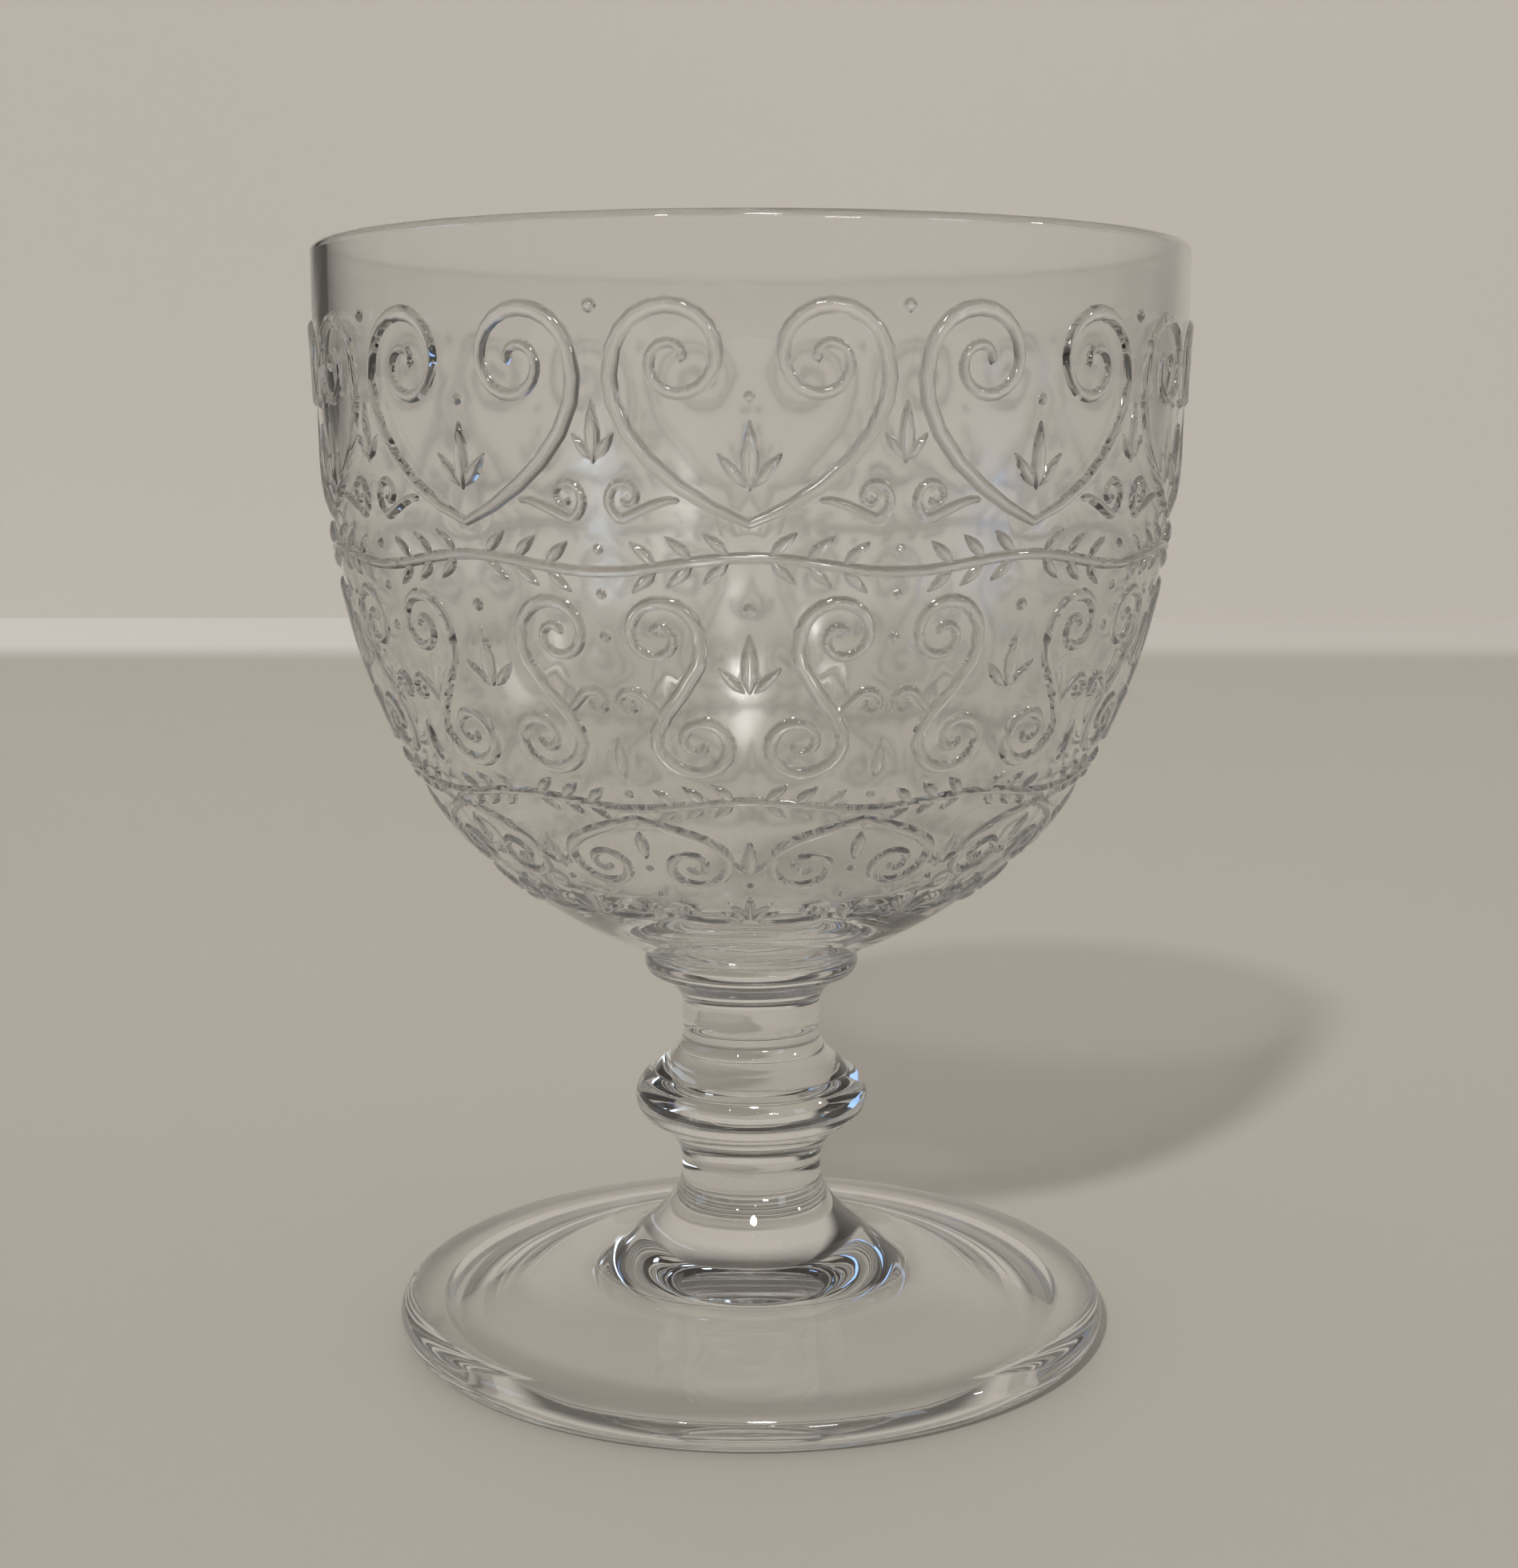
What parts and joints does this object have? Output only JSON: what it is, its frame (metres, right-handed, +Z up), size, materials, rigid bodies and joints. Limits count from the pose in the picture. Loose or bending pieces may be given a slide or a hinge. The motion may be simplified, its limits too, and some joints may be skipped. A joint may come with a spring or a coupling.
{
  "type": "cordial glass",
  "caption": "Small stemmed cordial glass: a deep round bowl with an etched scroll band, a collar, a short stem with a ring knop and a broad round foot.",
  "frame": {"origin": "centre of the flat ring that the foot rests on", "axes": "+Z up along the axis of the glass; +X and +Y lie in the resting plane"},
  "size_m": [0.062, 0.062, 0.0791],
  "materials": {
    "clear_glass": "clear, fire-polished, colourless",
    "etched_glass": "clear and colourless, with low raised scrolls between a clear rim band and a clear base"
  },
  "bodies": {
    "root": {"foot": "clear_glass", "lower_stem": "clear_glass", "ring_knop": "clear_glass", "upper_stem": "clear_glass", "bowl_collar": "clear_glass", "bowl": "etched_glass"}
  },
  "joints": []
}
